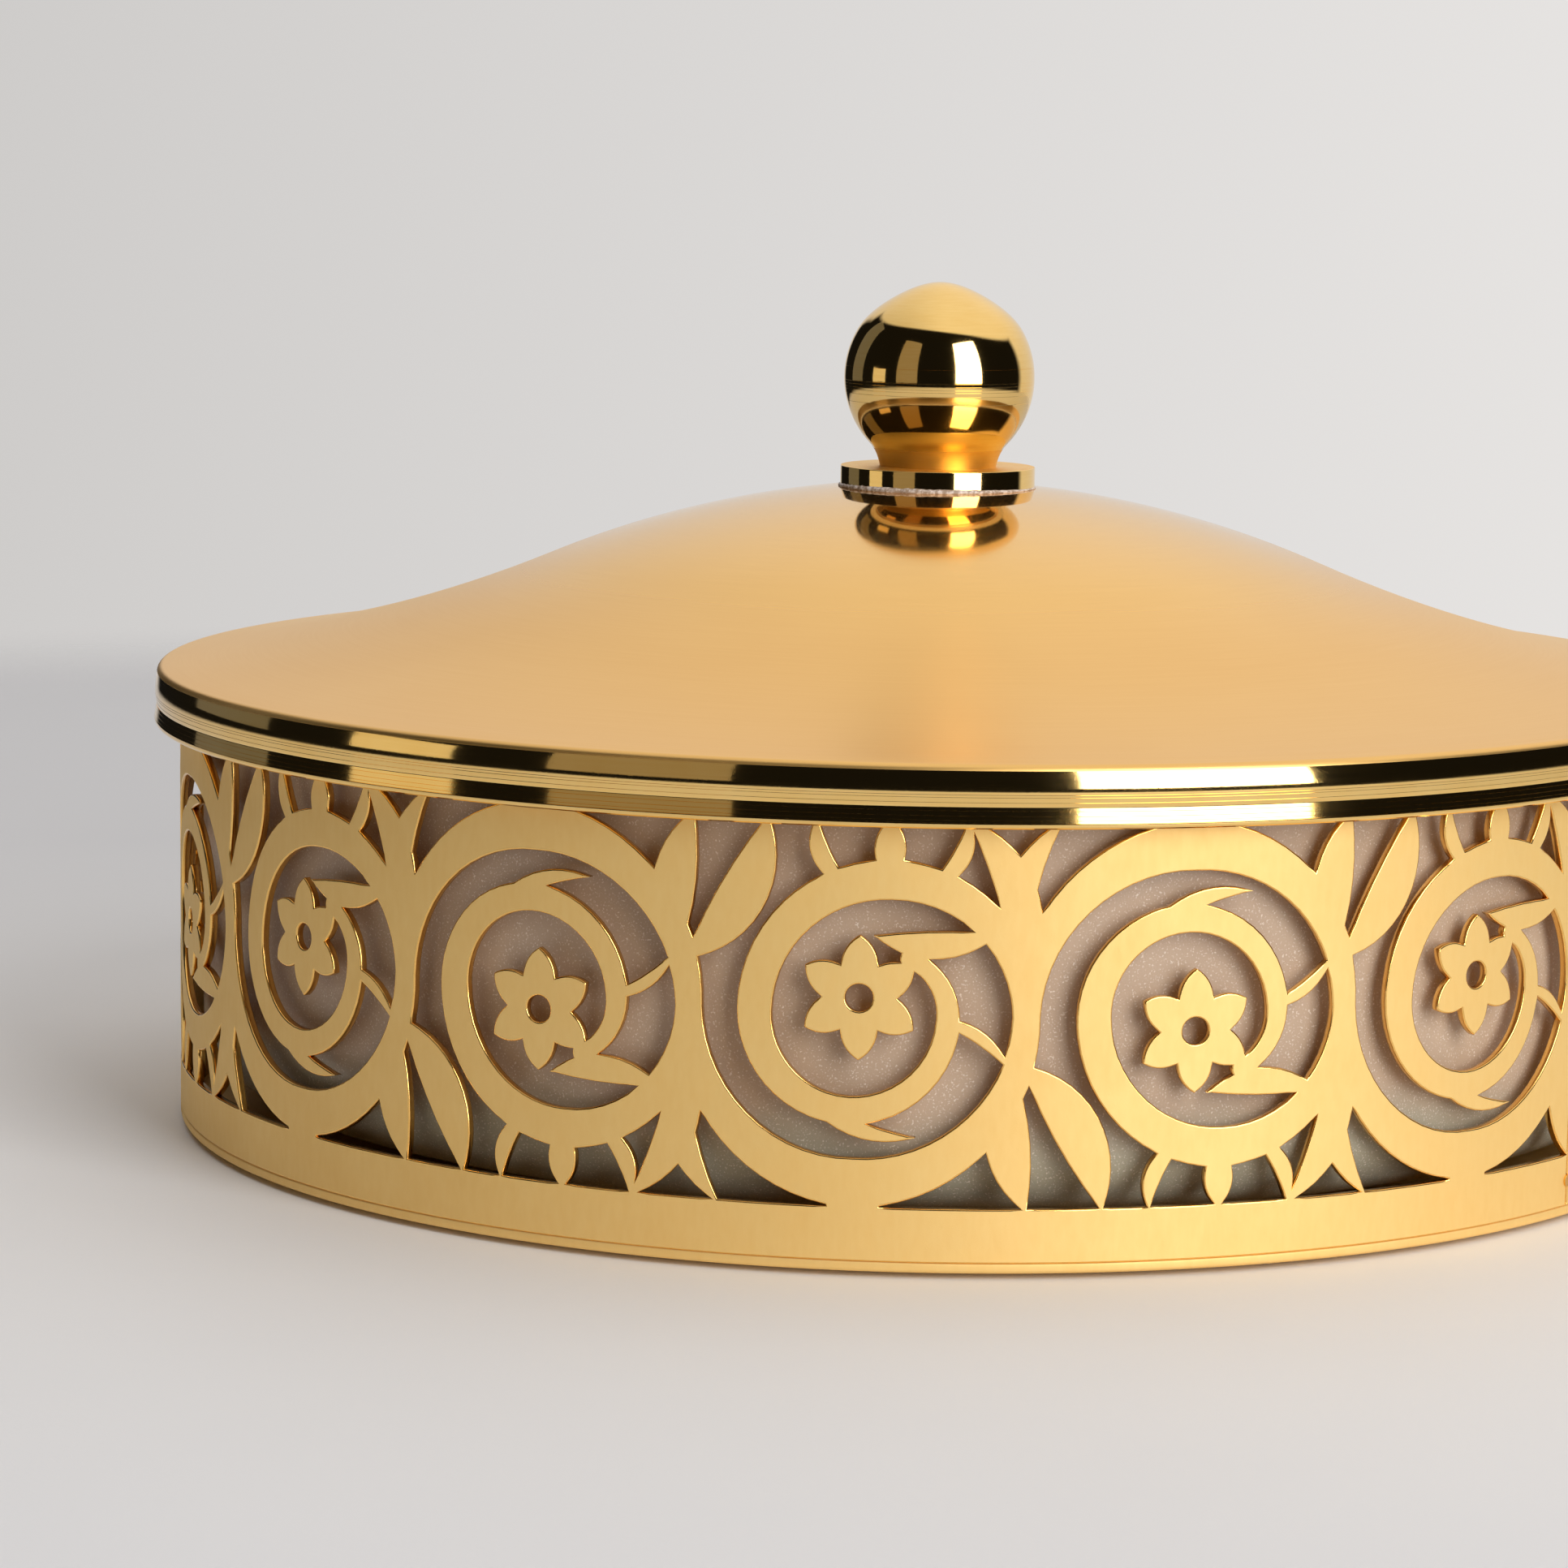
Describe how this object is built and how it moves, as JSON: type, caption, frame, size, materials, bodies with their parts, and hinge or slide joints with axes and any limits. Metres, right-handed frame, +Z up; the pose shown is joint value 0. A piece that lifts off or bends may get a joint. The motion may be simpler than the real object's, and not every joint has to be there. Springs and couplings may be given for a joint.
{
  "type": "covered candy bowl",
  "caption": "Low round covered bowl with a pierced scrollwork band, a lift-out frosted liner, a rim collar and a lift-off bell-shaped lid with a ball knob.",
  "frame": {"origin": "on the surface that the bowl stands on, at the middle of its foot pads", "axes": "+Z up along the bowl's axis, -Y towards the front"},
  "size_m": [0.24, 0.24, 0.1288],
  "materials": {
    "band_gold": "satin gold plate",
    "satin_gold": "fine satin gold plate",
    "polished_gold": "mirror-polished gold plate",
    "frosted_liner": "frosted, smoke-taupe",
    "solder": "gold-plated solder",
    "screw_steel": "zinc-plated",
    "felt": "pressed felt"
  },
  "bodies": {
    "bowl": {"base_plate": "band_gold", "pierced_band": "band_gold", "band_seam_tacks": "solder", "rim_collar": "polished_gold", "foot_pad_1": "felt", "foot_pad_2": "felt", "foot_pad_3": "felt", "foot_pad_4": "felt"},
    "liner": {"liner_bowl": "frosted_liner"},
    "lid": {"lid_shell": "satin_gold", "lid_locating_hoop": "band_gold", "knob_flange": "polished_gold", "ball_knob": "polished_gold", "knob_washer": "screw_steel", "knob_screw": "screw_steel"}
  },
  "joints": [
    {"name": "liner_lift", "type": "slide", "parent": "bowl", "child": "liner", "axis": [0, 0, 1], "range_m": [0, 0.07]},
    {"name": "lid_lift", "type": "slide", "parent": "liner", "child": "lid", "axis": [0, 0, 1], "range_m": [0, 0.1]}
  ]
}
